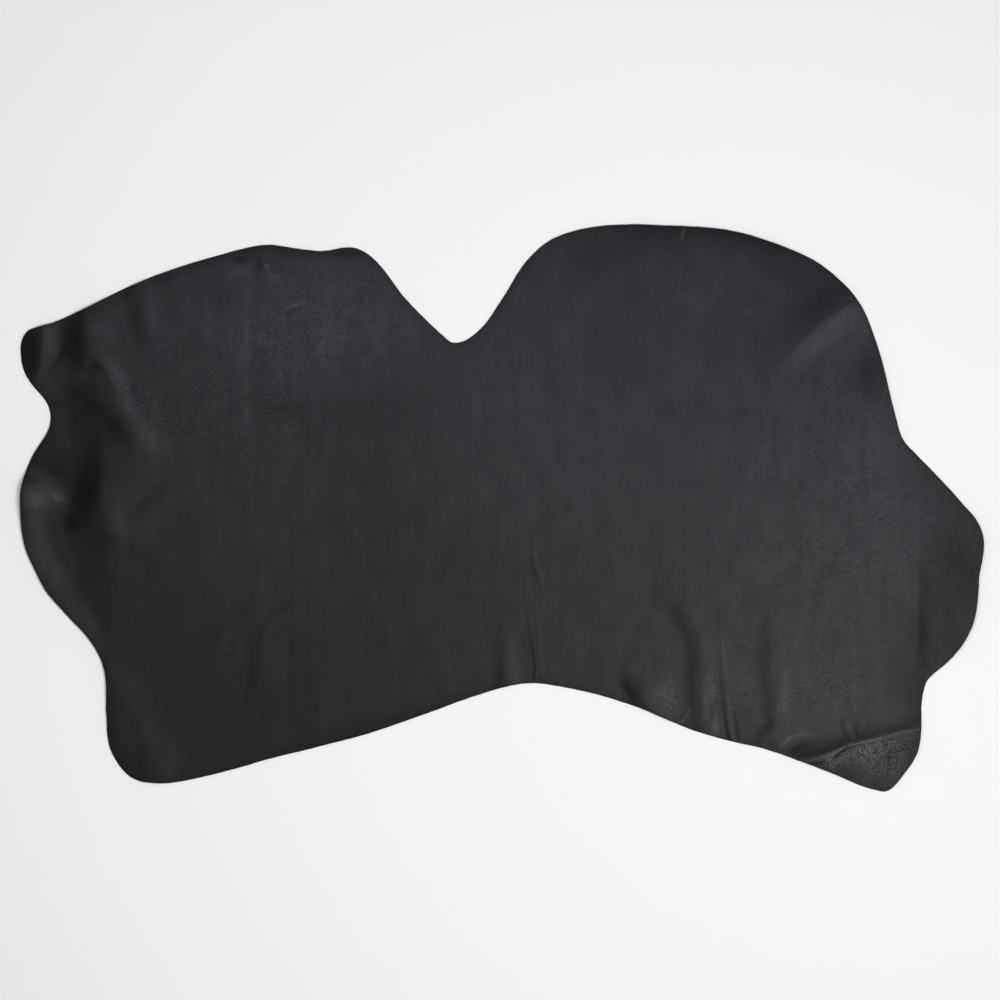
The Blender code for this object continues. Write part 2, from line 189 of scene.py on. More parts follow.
# ---- slack, painted highlights and painted shade -------------------------------------------
# Ellipses that paint highlights and shade into the coat, over the parts of the hide that face the
# lamps or lie in the shade of its folds, and that make the leather slacker, so that it ripples and
# its pebbles stand out. along and across are how far an ellipse reaches from its centre, in
# millimetres. sheen (a painted highlight above zero, painted shade below) and slack are
# added to what the rest of the hide has. turn is the angle from +X to the along axis, in degrees.
Patch = namedtuple("Patch", "name centre along across sheen slack turn", defaults=(0, 0))
PATCHES = (
    # Painted light on the flap, which faces the lamps, with painted shade in its hollow and at its
    # tip.
    Patch("hind leg flap", (544, -365), 125, 64, 0.82, 0.65, 15),
    Patch("flap, shiny middle", (537, -351), 52, 17, 0.8, 0.15, 14),
    Patch("flap, shiny tip", (478, -370), 15, 9, 0.9, 0.4, 20),
    Patch("flap, dull hollow", (508, -384), 32, 18, -0.95, -0.2, -8),
    Patch("flap, dull fold", (557, -352), 4, 19, -0.9),
    Patch("flap, dull tip", (545, -402), 48, 20, -0.55),
    Patch("flap, dull side", (600, -358), 22, 42, -0.65),
    Patch("belly, hind half", (441, -268), 160, 79, 0.3, 0.3),
    Patch("belly, shiny spot", (354, -193), 9, 7, 0.5, 0.2),
    Patch("belly, middle", (271, -265), 87, 73, 0.05, 0.35),
    Patch("second ripple, dull side", (185, -265), 25, 12, -0.8, 0, -55),
    Patch("third ripple, shiny side", (301, -262), 14, 42, 0.7, 0.15),
    Patch("leg, shiny field", (355, -262), 20, 28, 0.25, 0.05),
    Patch("leg, shiny field, second", (410, -283), 18, 36, 0.2, 0.05),
    Patch("third ripple, shiny foot", (309, -319), 9, 17, 0.7, 0.1),
    Patch("third ripple, shoulder", (242, -274), 26, 48, 0.62, 0.08),
    Patch("tail field", (510, 1), 262, 349, 0.1, 0.28),
    # Painted light: the tail half is made brighter, as the light falls from the tail end.
    Patch("tail half", (434, 40), 436, 422, 0.2),
    Patch("tail lobe", (661, -85), 61, 134, -0.42, 0.35),
    Patch("tail lobe, dull foot", (640, -195), 36, 62, -0.35),
    Patch("rump ridge, shiny upper end", (499, 277), 32, 12, 0.35, 0.1, 38),
    Patch("rump ridge, shiny middle", (452, 236), 34, 16, 0.35, 0.1, 45),
    Patch("rump ridge, dull bay", (533, 193), 26, 52, -0.65),
    Patch("rump ridge, shiny edge", (531, 261), 7, 12, 1, 0.3),
    Patch("rump, dull hollow", (451, 284), 76, 29, -0.45, 0, 42),
    Patch("rump, dull rim", (412, 344), 104, 38, -0.5, 0, -25),
    Patch("upper shoulder", (-249, 270), 240, 126, 0.82, 0.32),
    Patch("back", (40, 80), 233, 189, 0.32),
    Patch("notch field", (10, 232), 160, 150, 0.24),
    Patch("rump field", (388, 244), 130, 120, -0.3),
    Patch("rump front", (107, 302), 60, 80, 0.2),
    Patch("leg corner, dull", (605, -262), 32, 50, -0.3),
    Patch("tail field, dull foot", (596, -225), 54, 125, -0.38),
    Patch("tail field, dull head", (616, 55), 42, 68, -0.36),
    Patch("rump, shiny patch", (262, 309), 15, 9, 0.25, 0, 20),
    Patch("rump, shiny patch, second", (361, 284), 12, 10, 0.25),
    Patch("flank, shiny patch", (149, 334), 10, 14, 0.2),
    Patch("foreleg, shiny field", (-402, -214), 30, 38, 0.2),
    Patch("foreleg, shiny field, second", (-328, -233), 24, 46, 0.2),
    Patch("foreleg, dull band", (-363, -236), 9, 46, -0.3),
    Patch("foreleg, shiny dot", (-355, -301), 4, 4, 1.2),
    Patch("shoulder field", (-387, 134), 189, 189, 0.1, 0.38),
    Patch("shoulder, shiny bay", (-348, 244), 23, 13, 0.8, 0.2, -20),
    Patch("shoulder, shiny brow", (-380, 342), 22, 13, 0.7, 0.2, 30),
    Patch("shoulder, shiny knot", (-332, 335), 20, 11, 0.7, 0.2, -30),
    Patch("shoulder, shiny dot", (-342, 351), 4, 4, 3),
    Patch("shoulder, dull rim", (-379, 360), 15, 6, -0.9),
    Patch("shoulder, dull notch", (-353, 354), 6, 13, -0.8),
    Patch("shoulder, dull knot", (-321, 348), 8, 8, -0.6),
    Patch("shoulder, dull hollow", (-403, 302), 22, 30, -0.35, 0, -10),
    Patch("shoulder, dull spot", (-309, 281), 7, 10, -0.9, 0, -30),
    Patch("shoulder, dull step", (-300, 267), 19, 9, -0.5),
    Patch("shoulder, dull patch", (-209, 306), 15, 16, -0.4, 0, -20),
    Patch("shoulder, dull flank", (-197, 236), 14, 24, -0.4),
    Patch("shoulder, shiny patch", (-209, 325), 16, 6, 0.7, 0.1),
    Patch("shoulder, shiny streak", (-262, 239), 10, 32, 0.4, 0.1),
    Patch("shoulder, shiny flat", (-228, 249), 13, 13, 0.45, 0.2),
    Patch("shoulder, dull brow", (-225, 369), 26, 7, -0.5),
    # Painted highlight along the neck ridge, and painted shade in the hollow of the neck wall.
    Patch("neck ridge", (-526, 156), 110, 48, 0.1, 0.42, -63),
    Patch("neck ridge, shiny upper end", (-556, 192), 36, 15, 1.1, 0, -58),
    Patch("neck ridge, shiny lower end", (-541, 150), 44, 16, 0.75, 0, -60),
    Patch("neck ridge, shiny foot", (-513, 98), 40, 15, 0.55, 0, -68),
    Patch("neck wall, shiny head", (-608, 189), 14, 11, 0.4),
    Patch("neck swell, dull side", (-541, 48), 44, 72, -0.42),
    Patch("neck swell, dull head", (-566, 105), 36, 32, -0.35),
    Patch("neck wall, dull", (-598, 40), 28, 92, -0.8, 0, -12),
    Patch("neck wall, dull shoulder", (-563, 122), 50, 20, -0.7, 0, -58),
    Patch("neck wall, dull head", (-621, 168), 15, 18, -0.5),
    Patch("neck wall, dull brow", (-596, 146), 28, 15, -0.4, 0, -40),
    Patch("neck wall, dull foot", (-627, -21), 16, 19, -0.8, 0, 20),
    Patch("neck edge", (-668, 15), 45, 20, 0.55, 0.15),
    Patch("neck edge, shiny spot", (-645, 16), 18, 9, 1.6, 0, -20),
    Patch("neck edge, dull side", (-660, 57), 42, 26, -0.45, 0, -15),
    Patch("shoulder rim", (-645, -78), 110, 38, 0.38, 0, -68),
    Patch("shoulder rim, lower end", (-608, -176), 54, 30, 0.7, 0, -60),
    Patch("neck corner", (-610, 244), 70, 41, 0, 0.1),
    Patch("neck corner, dull lobe", (-691, 222), 25, 49, -1.6),
    Patch("neck corner, shiny fold", (-656, 244), 16, 38, 0.3, 0.1, -8),
    Patch("neck corner, dull hollow", (-621, 236), 24, 54, -0.95, 0, -8),
    Patch("neck corner, dull bay", (-588, 206), 12, 10, -0.7, 0, -30),
    Patch("neck corner, shiny bay", (-603, 212), 7, 20, 0.6, 0, 4),
    Patch("neck corner, shiny plane", (-582, 257), 26, 13, 0.35, 0, -25),
    Patch("neck corner, dull seam", (-637, 255), 14, 22, -0.5),
    Patch("neck bay", (-651, 171), 16, 22, 0.3, 0.1),
    # Painted shade: the foreleg half is made darker, away from the light.
    Patch("foreleg half", (-366, -265), 349, 204, -0.22),
)
PATCH_FALLOFF = 1.5          # above 1 a patch fades out softly at its rim
TIGHT = 0.12                 # slack of the leather outside the patches
SPRING = 0.25                # share of the ripples that even tight leather shows
SHADED_EDGE = 0.022            # painted shade darkens the hide this far in from the cut edge
EDGE_LIGHT_SHARE = 0.6             # share of the painted light that is left along the cut edge

# Lines of painted highlight along sharp crests, and of painted shade along the sides of folds and
# creases that face away from the light. The columns are a fold's, and the third number of a knot
# is the painted light added: a painted highlight above zero, painted shade below.
PAINTED_LINES = (
    # Painted highlight on the crest of the hind leg crease, painted shade on its upper side.
    Fold("hind leg crease, crest", ((440, -367, 1.8), (472, -360, 2.4), (499, -347, 3.2),
        (521, -341, 3.2), (550, -334, 3), (579, -326, 3.2), (607, -321, 3.2)), 1.5, 2.5, 0.3),
    Fold("hind leg crease, dull side", ((434, -361, -0.8), (472, -354, -1), (499, -341, -1),
        (521, -335, -0.8), (550, -328, -0.6), (579, -321, -0.5), (601, -315, -0.4)), 14, 3, 0.1),
    # Painted shadow under the crease where it overhangs the flap, and painted shade in its
    # wrinkles.
    Fold("flap, dull wedge", ((444, -371, -2), (458, -370, -2.2), (472, -367, -0.8)), 2, 6, 0.1),
    Fold("flap, dull wrinkle", ((481, -365, -1.4), (490, -357, -2), (503, -348, -1.8),
        (530, -343, -0.6)), 3, 3, 0.2),
    Fold("flap, shiny wrinkle", ((470, -370, 0.6), (478, -363, 1.1), (484, -356, 0.5)), 3, 3, 0.2),
    Fold("flap, shiny wrinkle, second", ((482, -374, 0.4), (493, -365, 1), (505, -357, 0.6)), 4, 4,
        0.2),
    Fold("leg crease, left", ((494, -306, -0.4), (496, -322, -0.7), (503, -335, -0.2)), 4, 4),
    Fold("leg crease, right", ((517, -303, -0.3), (515, -323, -0.7), (518, -335, -0.2)), 4, 4),
    Fold("leg crease, shiny strip", ((502, -312, 0.2), (507, -325, 0.7), (512, -337, 0.7)), 4, 4,
        0.1),
    Fold("leg bow, shiny", ((405, -350, 0.8), (414, -337, 1.1), (424, -331, 0.8), (443, -328, 0.6),
        (460, -332, 0.1)), 4, 5, 0.1),
    Fold("leg bow, dull", ((421, -355, -1), (431, -347, -1), (451, -347, -0.3), (480, -341, 0)),
        11, 9),
    Fold("leg diagonal, dull", ((405, -303, -0.3), (392, -316, -0.7), (380, -326, -0.7),
        (371, -341, -0.6)), 9, 17),
    Fold("leg streak, dull", ((380, -134, -0.1), (380, -214, -0.3), (381, -251, -0.4),
        (383, -280, -0.4), (384, -300, -0.2)), 15, 13),
    Fold("leg streak, shiny", ((411, -193, 0.1), (411, -265, 0.5), (408, -289, 0.7),
        (401, -306, 0.3)), 10, 9),
    Fold("belly crease, dull", ((312, -149, -0.1), (316, -207, -0.2), (319, -258, -0.7),
        (323, -302, -0.9), (328, -338, -1.1)), 5, 4, 0.1),
    Fold("belly crease, shiny", ((316, -134, 0.1), (321, -200, 0.6), (324, -230, 0.5),
        (328, -262, 0.2), (332, -300, 0.6), (337, -335, 0.5)), 3, 3, 0.2),
    Fold("belly crease, shiny side", ((306, -222, 0.1), (307, -262, 0.5), (309, -283, 0.2),
        (311, -312, 0.6), (315, -330, 0.3)), 5, 5),
    Fold("third ripple, dull trough", ((228, -132, -0.2), (256, -166, -0.35), (269, -207, -0.4),
        (273, -251, -0.5), (276, -289, -0.3)), 12, 12),
    Fold("third ripple, shiny crest", ((278, -165, 0.2), (289, -204, 0.4), (294, -251, 0.6),
        (297, -303, 0.5)), 8, 8),
    Fold("belly crease, dull side", ((338, -297, -0.6), (344, -338, -1)), 4, 4, 0.1),
    Fold("belly edge, shiny tick", ((274, -290, 1), (268, -303, 1.5), (260, -313, 1.5)), 3, 3,
        0.2),
    Fold("middle crease, dull upper", ((41, -41, -0.2), (43, -76, -0.5), (50, -101, -0.6),
        (57, -126, -0.3)), 4, 4, 0.1),
    Fold("middle crease, shiny upper", ((47, -47, 0.2), (52, -76, 0.6), (59, -102, 0.5)), 3, 3,
        0.2),
    Fold("middle crease, dull lower", ((33, -129, -0.3), (37, -164, -0.5), (43, -200, -0.9),
        (47, -225, -1.2), (46, -254, -1)), 3, 3, 0.2),
    Fold("middle band, dull", ((-4, -156, -0.1), (-4, -193, -0.2), (-4, -257, -0.25)), 12, 9),
    Fold("middle band, shiny", ((20, -164, 0.1), (18, -207, 0.2), (17, -257, 0.25)), 12, 9),
    Fold("shoulder crease, shiny", ((-373, 371, 0.1), (-373, 302, 0.15), (-371, 244, 0.35),
        (-371, 156, 0.3), (-371, 85, 0.1)), 6, 10, 0.2),
    Fold("shoulder crease, dull side", ((-351, 348, -0.2), (-351, 316, -0.25), (-359, 236, -0.3),
        (-361, 197, -0.1)), 12, 12),
    Fold("foreleg crease, dull", ((-303, 11, -0.03), (-303, -76, -0.12), (-303, -313, -0.15)), 5,
        7, 0.2),
    Fold("foreleg hook, dull", ((-357, -300, -0.1), (-358, -233, -0.18), (-351, -183, -0.32),
        (-332, -155, -0.4), (-296, -136, -0.2)), 12, 6, 0.1),
    Fold("foreleg tick, dull", ((-419, -309, -0.4), (-420, -331, -0.7)), 3, 3, 0.2),
    Fold("foreleg dash, dull", ((-414, -208, -0.4), (-400, -211, -0.6), (-389, -214, -0.3)), 3, 3,
        0.2),
    Fold("foreleg rim, shiny", ((-571, -193, 0.1), (-528, -251, 0.3), (-489, -312, 0.3),
        (-467, -353, 0.2)), 22, 22),
    Fold("flank crease, shiny", ((-41, 244, 0.02), (-41, 156, 0.1), (-40, -44, 0.02)), 3, 6, 0.3),
    Fold("rump crease, shiny", ((476, 244, 0.1), (476, 156, 0.18), (476, 30, 0.05)), 4, 7, 0.2),
    Fold("shoulder scar, shiny", ((-316, 290, 1), (-303, 294, 2.4), (-287, 300, 1.6)), 3, 3, 0.3),
    Fold("foreleg diagonal, dull", ((-536, -15, -0.2), (-516, 4, -0.4), (-491, 26, -0.45),
        (-464, 49, -0.2)), 16, 20),
    Fold("flank scratch", ((265, 406, 3), (261, 390, 2)), 2, 3, 0.3),
    Fold("foreleg edge, dull", ((-559, -275, -0.2), (-544, -297, -0.4), (-526, -331, -0.3),
        (-523, -390, -0.4)), 12, 12),
    Fold("belly rim, dull", ((-390, -378, 0), (-304, -352, -0.25), (-170, -316, -0.3),
        (-58, -280, -0.3), (4, -257, 0)), 32, 32),
    Fold("foreleg edge, shiny nick", ((-482, -385, 1), (-478, -393, 1)), 3, 3, 0.2),
    Fold("shoulder band, dull side", ((-367, -120, -0.1), (-366, -229, -0.12),
        (-367, -290, -0.15)), 8, 14),
    Fold("neck corner, dull diagonal", ((-631, 246, -0.5), (-642, 217, -0.6), (-660, 196, -0.3)),
        9, 9),
    Fold("upper shoulder, dull fold", ((-538, 312, 0), (-537, 270, -0.3), (-530, 226, -0.2)), 16,
        12),
    Fold("upper shoulder, shiny fold", ((-512, 318, 0.1), (-510, 270, 0.3), (-505, 232, 0.1)), 12,
        12),
    Fold("upper shoulder, dull diagonal", ((-348, 153, -0.2), (-315, 143, -0.35),
        (-273, 121, -0.1)), 9, 9),
    # Painted shade along the shoulder and rump rims.
    Fold("shoulder rim, dull", ((-634, 276, -0.1), (-598, 290, -0.4), (-555, 307, -0.3),
        (-482, 345, -0.3), (-380, 380, -0.45), (-293, 377, -0.35), (-220, 379, -0.6),
        (-194, 360, -0.1)), 28, 28),
    Fold("rump rim, dull", ((85, 302, -0.1), (143, 371, -0.25), (230, 409, -0.48),
        (347, 415, -0.52), (434, 382, -0.35), (507, 323, -0.2)), 46, 46),
    Fold("tail hinge, dull", ((611, 14, -0.1), (610, -76, -0.4), (610, -134, -0.7),
        (609, -188, -0.8), (609, -226, -0.35)), 18, 8),
    Fold("leg strip, shiny", ((511, -149, 0.1), (512, -251, 0.3), (514, -306, 0.2)), 5, 5),
)


# ==== curves and heights ====================================================================
def smooth_curve(points, steps, closed=False):
    """A Catmull-Rom curve through the points; any third column levels off at open ends."""
    knots = np.array(points, dtype=float)
    if closed:
        knots = np.vstack((knots[-1], knots, knots[:2]))
    else:
        first, last = 2 * knots[0] - knots[1], 2 * knots[-1] - knots[-2]
        first[2:], last[2:] = knots[1, 2:], knots[-2, 2:]
        knots = np.vstack((first, knots, last))
    t = (np.arange(steps) / steps)[:, None]
    curve = []
    for before, start, end, after in zip(knots, knots[1:], knots[2:], knots[3:]):
        # Steps in the square root of the distance keep the curve from looping at short spans.
        spans = [np.hypot(*(b - a)[:2]) ** 0.5
                 for a, b in ((before, start), (start, end), (end, after))]
        leave = spans[1] * ((start - before) / spans[0] - (end - before) / (spans[0] + spans[1])
                            + (end - start) / spans[1])
        arrive = spans[1] * ((end - start) / spans[1] - (after - start) / (spans[1] + spans[2])
                             + (after - end) / spans[2])
        curve.append((2 * t**3 - 3 * t**2 + 1) * start + (t**3 - 2 * t**2 + t) * leave
                     + (3 * t**2 - 2 * t**3) * end + (t**3 - t**2) * arrive)
    if not closed:
        curve.append(knots[-2:-1])
    return np.vstack(curve)


def nearest_on_fold(fold, places):
    """The places that a fold reaches, their distance to its path, the lift and the reach there."""
    path = smooth_curve(fold.knots, CURVE_STEPS) * MM
    widest = max(fold.left, fold.right) * MM
    low, high = path[:, :2].min(axis=0) - widest, path[:, :2].max(axis=0) + widest
    near = np.flatnonzero(((places > low) & (places < high)).all(axis=1))
    distance = np.full(len(near), np.inf)
    lift = np.zeros(len(near))
    reach = np.ones(len(near))
    for start, end in zip(path, path[1:]):
        run = (end - start)[:2]
        length = np.hypot(*run)
        away = places[near] - start[:2]
        share = np.clip(away @ run / length**2, 0, 1)
        offset = away - share[:, None] * run
        gap = np.hypot(*offset.T)
        # 1 on the left of the path, -1 on the right, and between the two past an end.
        side = (run[0] * offset[:, 1] - run[1] * offset[:, 0]) / (np.maximum(gap, WELD) * length)
        closer = gap < distance
        distance[closer] = gap[closer]
        lift[closer] = (start[2] + (end[2] - start[2]) * share)[closer]
        reach[closer] = (fold.left * (1 + side) / 2 + fold.right * (1 - side) / 2)[closer] * MM
    return near, distance, lift, reach


def rise_of(folds, places):
    """How far the folds together lift the sheet at each place."""
    total = np.zeros(len(places))
    for fold in folds:
        near, distance, lift, reach = nearest_on_fold(fold, places)
        across = np.clip(distance / reach, 0, 1)
        rounded = 1 - 3 * across**2 + 2 * across**3
        pinched = (1 - across) ** 2
        # Between two knots the curve may overshoot past zero, and that part is left out.
        way = math.copysign(1, sum(knot[2] for knot in fold.knots))
        kept = np.where(lift * way > 0, lift, 0)
        total[near] += kept * ((1 - fold.sharp) * rounded + fold.sharp * pinched)
    return total


# ==== the outline ===========================================================================
def evenly_spaced(loop, spacing):
    """Points a fixed distance apart along a closed loop."""
    ring = np.vstack((loop, loop[:1]))
    along = np.concatenate(([0.0], np.cumsum(np.hypot(*np.diff(ring, axis=0).T))))
    count = round(along[-1] / spacing)
    marks = np.arange(count) * along[-1] / count
    return np.column_stack([np.interp(marks, along, ring[:, axis]) for axis in (0, 1)])


def loop_area(loop):
    """The area within a closed loop, above zero where it is walked anticlockwise."""
    ahead = np.roll(loop, -1, axis=0)
    return float((loop[:, 0] * ahead[:, 1] - ahead[:, 0] * loop[:, 1]).sum() / 2)


def outline_of_frame():
    """The lower rim of the frame's hide as one closed loop, walked anticlockwise."""
    solid = bmesh.new()
    solid.from_mesh(frame["nodes"]["hide"].data)
    bmesh.ops.remove_doubles(solid, verts=solid.verts, dist=WELD)
    rim = {}
    for edge in solid.edges:
        under = any(face.normal.z < -WALL_TILT for face in edge.link_faces)
        wall = any(abs(face.normal.z) < WALL_TILT for face in edge.link_faces)
        if under and wall:
            for here, there in (edge.verts, reversed(edge.verts)):
                rim.setdefault(here, []).append(there)
    if not rim or any(len(ends) != 2 for ends in rim.values()):
        raise RuntimeError("the frame's hide has no single closed cut edge")
    start = next(iter(rim))
    walk, here, before = [], start, None
    while here is not start or not walk:
        walk.append(tuple(here.co)[:2])
        ahead = [there for there in rim[here] if there is not before]
        here, before = ahead[0], here
    solid.free()
    loop = np.array(walk)
    if loop_area(loop) < 0:
        loop = loop[::-1]
    return evenly_spaced(smooth_curve(loop, OUTLINE_STEPS, closed=True), EDGE_STEP)


def outward(loop):
    """Unit vectors that point out of a closed loop that is walked anticlockwise."""
    along = np.roll(loop, -1, axis=0) - np.roll(loop, 1, axis=0)
    along /= np.hypot(*along.T)[:, None]
    return np.column_stack((along[:, 1], -along[:, 0]))


def knife_waver(count, seed):
    """A small uneven offset for each point along the cut, from a few waves that close up."""
    turn = np.arange(count) * 2 * math.pi / count
    phases = np.random.default_rng(seed).uniform(0, 2 * math.pi, len(KNIFE_WAVES))
    waves = [np.sin(number * turn + phase) / (1 + rank)
             for rank, (number, phase) in enumerate(zip(KNIFE_WAVES, phases))]
    return KNIFE_WAVER * sum(waves)


def distance_to_loop(places, loop, belt):
    """The distance from each place to the nearest side of a closed loop, within a belt."""
    nearest = np.full(len(places), np.inf)
    order = np.argsort(places[:, 0])
    columns = places[order, 0]
    for start, end in zip(loop, np.roll(loop, -1, axis=0)):
        first = np.searchsorted(columns, min(start[0], end[0]) - belt)
        last = np.searchsorted(columns, max(start[0], end[0]) + belt)
        picked = order[first:last]
        run = end - start
        share = np.clip((places[picked] - start) @ run / (run @ run), 0, 1)
        gap = np.hypot(*(places[picked] - start - share[:, None] * run).T)
        nearest[picked] = np.minimum(nearest[picked], gap)
    return nearest


# ==== the sheet's nets ======================================================================
def patch_strength(patch, places):
    """From 1 in the middle of a patch down to 0 at its rim."""
    turn = math.radians(patch.turn)
    away = places / MM - patch.centre
    along = away @ (math.cos(turn), math.sin(turn)) / patch.along
    across = away @ (-math.sin(turn), math.cos(turn)) / patch.across
    return np.clip(1 - along**2 - across**2, 0, 1) ** PATCH_FALLOFF


def wanted_step(places, from_edge):
    """How far apart the grain side's points may lie at each place."""
    middle = 2 * FINEST_STEP
    step = np.full(len(places), FINEST_STEP * 2**NET_LEVELS)
    step[from_edge < EDGE_BELT] = middle
    for patch in PATCHES:
        if patch.across < SMALL_PATCH:
            inside = patch_strength(patch, places) > 0
            step[inside] = np.minimum(step[inside], middle)
    for line in FOLDS + CREASES + PAINTED_LINES:
        near, distance, _, reach = nearest_on_fold(line, places)
        inside = near[distance < reach]
        step[inside] = np.minimum(step[inside], middle)
        if line in FOLDS:
            belt = CREST_BELT if line.sharp >= PINCHED else 0
        elif min(line.left, line.right) < NARROW_LINE:
            belt = np.minimum(reach, CREST_BELT) + CREASE_BELT
        else:
            belt = 0
        step[near[distance < belt]] = FINEST_STEP
    return step


def hexagonal_net(low, high, step):
    """Rows, columns and places of a triangular net over a box."""
    row_height = step * 3**0.5 / 2
    row_count = int((high[1] - low[1]) / row_height) + 1
    column_count = int((high[0] - low[0]) / step) + 1
    rows, columns = (index.ravel() for index in np.indices((row_count, column_count)))
    # Each row starts half a step further on, so a row is taken back by half its number.
    columns = columns - rows // 2
    return rows, columns, low + np.column_stack((step * (columns + rows / 2), row_height * rows))


def triangulated(loop, inner):
    """Triangles over a loop and the places within it: their places and their corner numbers."""
    flat = [Vector(place) for place in np.vstack((loop, inner))]
    found, _, faces, origins, *_ = delaunay_2d_cdt(
        flat, [], [list(range(len(loop)))], INSIDE_ONLY, WELD)
    places = np.array([tuple(place) for place in found])
    corners = np.array(faces)
    used = np.unique(corners)
    renumbered = np.full(len(places), -1)
    renumbered[used] = np.arange(len(used))
    first_use = {origin: new for new, old in enumerate(used) for origin in origins[old]}
    rim = np.array([first_use[number] for number in range(len(loop))])
    corners = renumbered[corners]
    a, b, c = (places[used][corners[:, k]] for k in range(3))
    turned = (b[:, 0] - a[:, 0]) * (c[:, 1] - a[:, 1]) < (c[:, 0] - a[:, 0]) * (b[:, 1] - a[:, 1])
    corners[turned] = corners[turned][:, ::-1]
    return places[used], corners, rim


def grain_net(loop):
    """The grain side's net: finest along creases, widest where the hide lies flat."""
    rows, columns, places = hexagonal_net(loop.min(axis=0), loop.max(axis=0), FINEST_STEP)
    from_edge = distance_to_loop(places, loop, EDGE_BELT)
    step = wanted_step(places, from_edge)
    kept = np.zeros(len(places), dtype=bool)
    for level in range(NET_LEVELS + 1):
        stride = 2**level
        on_level = (rows % stride == 0) & (columns % stride == 0)
        kept |= on_level & ((step < 2 * stride * FINEST_STEP) | (level == NET_LEVELS))
    kept &= from_edge > EDGE_CLEARANCE * np.maximum(step, EDGE_STEP)
    return triangulated(loop, places[kept])


def flesh_net(loop):
    """The flesh side's net, an even one."""
    _, _, places = hexagonal_net(loop.min(axis=0), loop.max(axis=0), FLESH_STEP)
    return triangulated(loop, places[distance_to_loop(places, loop, EDGE_BELT) > FLESH_STEP / 2])


def slack_and_painted_light(places, loop):
    """How slack the leather is at each place, and its painted light: painted highlights and
    painted shade that scale the coat.
    """
    slack = np.full(len(places), TIGHT)
    sheen = 1 + rise_of(PAINTED_LINES, places) / MM
    for patch in PATCHES:
        strength = patch_strength(patch, places)
        slack += patch.slack * strength
        sheen += patch.sheen * strength
    # Painted shade along the cut edge: the painted light falls off towards it.
    inward = np.clip(distance_to_loop(places, loop, SHADED_EDGE) / SHADED_EDGE, 0, 1)
    sheen *= 1 - (1 - EDGE_LIGHT_SHARE) * (1 - inward) ** 2
    return np.minimum(slack, 1), np.maximum(sheen, 0)


GRAIN_SIDE, CUT_EDGE, FLESH_SIDE = range(3)


def sheet_mesh(sizes):
    """The closed sheet on its folds, and the flat area it was cut to."""
    outline = outline_of_frame()
    out = outward(outline)
    count = len(outline)
    rows = []
    for number, row in enumerate(CUT_EDGE_ROWS):
        # Each pair of rows wavers alike.
        offset = knife_waver(count, sizes.seed + number // 2) - row.inset * MM
        rows.append(outline + out * offset[:, None])
    top_places, top_faces, top_rim = grain_net(rows[0])
    under_places, under_faces, under_rim = flesh_net(rows[-1])

    def lifted(places, share):
        rise = rise_of(FOLDS, places) + share * sizes.thickness
        return np.column_stack((places, rise))

    top = lifted(top_places, 1.0)
    top[:, 2] += rise_of(CREASES, top_places)
    under = lifted(under_places, 0.0)
    walls = [lifted(places, row.height) for places, row in zip(rows[1:-1], CUT_EDGE_ROWS[1:-1])]
    points = np.vstack([top, under, *walls])
    wall_start = len(top) + len(under)
    rings = [top_rim, *(wall_start + number * count + np.arange(count)
                        for number in range(len(walls))), len(top) + under_rim]
    bands = []
    for upper, lower in zip(rings, rings[1:]):
        bands.append(np.column_stack((upper, lower, np.roll(lower, -1), np.roll(upper, -1))))
    faces = top_faces.tolist() + np.vstack(bands).tolist()
    faces += (under_faces[:, ::-1] + len(top)).tolist()
    mesh = bpy.data.meshes.new("hide_sheet")
    mesh.from_pydata(points.tolist(), [], faces)
    sides = np.repeat((GRAIN_SIDE, CUT_EDGE, FLESH_SIDE),
                      (len(top_faces), len(bands) * count, len(under_faces)))
    mesh.attributes.new("side", "INT", "FACE").data.foreach_set("value", sides.astype(np.int32))
    slack, sheen = slack_and_painted_light(top_places, rows[0])
    relief = SPRING + (1 - SPRING) * slack
    # The ripples end at the rim, so the leather is equally thick all along the cut.
    relief[top_rim] = 0.0
    for name, values in (("relief", relief), ("slack", slack), ("sheen", sheen)):
        padded = np.zeros(len(points), dtype=np.float32)
        padded[:len(top)] = values
        mesh.attributes.new(name, "FLOAT", "POINT").data.foreach_set("value", padded)
    mesh.shade_smooth()
    return mesh, loop_area(outline)


# ==== node trees ============================================================================
class Wire:
    """One output of a node. Arithmetic on it adds Math nodes to the tree that it belongs to."""

    def __init__(self, net, socket):
        self.net = net
        self.socket = socket

    def math(self, operation, first, second):
        return self.net.node("ShaderNodeMath", {"operation": operation}, {0: first, 1: second})

    def __add__(self, other):
        return self.math("ADD", self, other)

    __radd__ = __add__

    def __sub__(self, other):
        return self.math("SUBTRACT", self, other)

    def __rsub__(self, other):
        return self.math("SUBTRACT", other, self)

    def __mul__(self, other):
        return self.math("MULTIPLY", self, other)

    __rmul__ = __mul__

    def __truediv__(self, other):
        return self.math("DIVIDE", self, other)

    def __rtruediv__(self, other):
        return self.math("DIVIDE", other, self)


